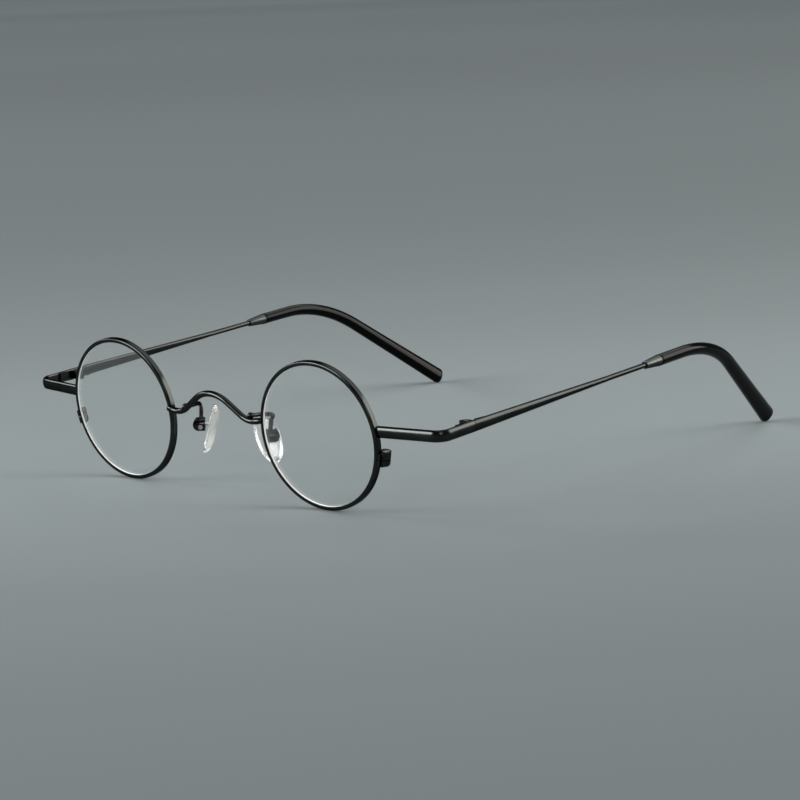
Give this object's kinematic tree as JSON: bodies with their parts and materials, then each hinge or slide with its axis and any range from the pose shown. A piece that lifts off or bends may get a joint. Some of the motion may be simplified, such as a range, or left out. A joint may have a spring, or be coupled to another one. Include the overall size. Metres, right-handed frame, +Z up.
{
  "type": "eyeglasses",
  "caption": "Round-lens wire eyeglasses with an arched saddle bridge, adjustable nose pads, folding temples and black ear tips.",
  "frame": {"origin": "under the middle of the glasses' bounding box, on the surface that they stand on", "axes": "+X to the wearer's left, -Y the way the lenses face, +Y along the open temples to the back, +Z up"},
  "size_m": [0.1294, 0.1406, 0.0335],
  "materials": {
    "frame_metal": "polished, dark gunmetal plating on titanium",
    "temple_metal": "polished, dark gunmetal plating on titanium",
    "small_screw": "polished dark steel",
    "pad_screw": "bright steel",
    "acetate": "glossy black acetate",
    "lens": "clear lens",
    "pad_silicone": "clear silicone",
    "pad_core": "bright insert"
  },
  "bodies": {
    "front": {"bridge": "frame_metal", "left_rim": "frame_metal", "left_lens": "lens", "left_lock_top": "frame_metal", "left_lock_bottom": "frame_metal", "left_lock_screw": "small_screw", "left_pad_arm": "frame_metal", "left_pad_box": "frame_metal", "left_pad_screw": "pad_screw", "left_end_piece": "frame_metal", "left_front_hinge": "frame_metal", "left_hinge_screw": "small_screw", "right_rim": "frame_metal", "right_lens": "lens", "right_lock_top": "frame_metal", "right_lock_bottom": "frame_metal", "right_lock_screw": "small_screw", "right_pad_arm": "frame_metal", "right_pad_box": "frame_metal", "right_pad_screw": "pad_screw", "right_end_piece": "frame_metal", "right_front_hinge": "frame_metal", "right_hinge_screw": "small_screw"},
    "left_temple_body": {"left_temple": "temple_metal", "left_temple_hinge": "frame_metal", "left_ferrule": "temple_metal", "left_tip": "acetate"},
    "left_pad_body": {"left_nose_pad": "pad_silicone", "left_pad_core": "pad_core"},
    "right_temple_body": {"right_temple": "temple_metal", "right_temple_hinge": "frame_metal", "right_ferrule": "temple_metal", "right_tip": "acetate"},
    "right_pad_body": {"right_nose_pad": "pad_silicone", "right_pad_core": "pad_core"}
  },
  "joints": [
    {"name": "left_temple_fold", "type": "hinge", "parent": "front", "child": "left_temple_body", "pos_m": [0.0611, -0.05403, 0.02006], "axis": [0, 0, 1], "range_deg": [0, 90]},
    {"name": "right_temple_fold", "type": "hinge", "parent": "front", "child": "right_temple_body", "pos_m": [-0.0611, -0.05403, 0.02006], "axis": [0, 0, -1], "range_deg": [0, 84]},
    {"name": "left_pad_rock", "type": "hinge", "parent": "front", "child": "left_pad_body", "pos_m": [0.0117, -0.06183, 0.01366], "axis": [0.6691, 0.7431, 0], "range_deg": [-12, 12]},
    {"name": "right_pad_rock", "type": "hinge", "parent": "front", "child": "right_pad_body", "pos_m": [-0.0117, -0.06183, 0.01366], "axis": [-0.6691, 0.7431, 0], "range_deg": [-12, 12]}
  ]
}
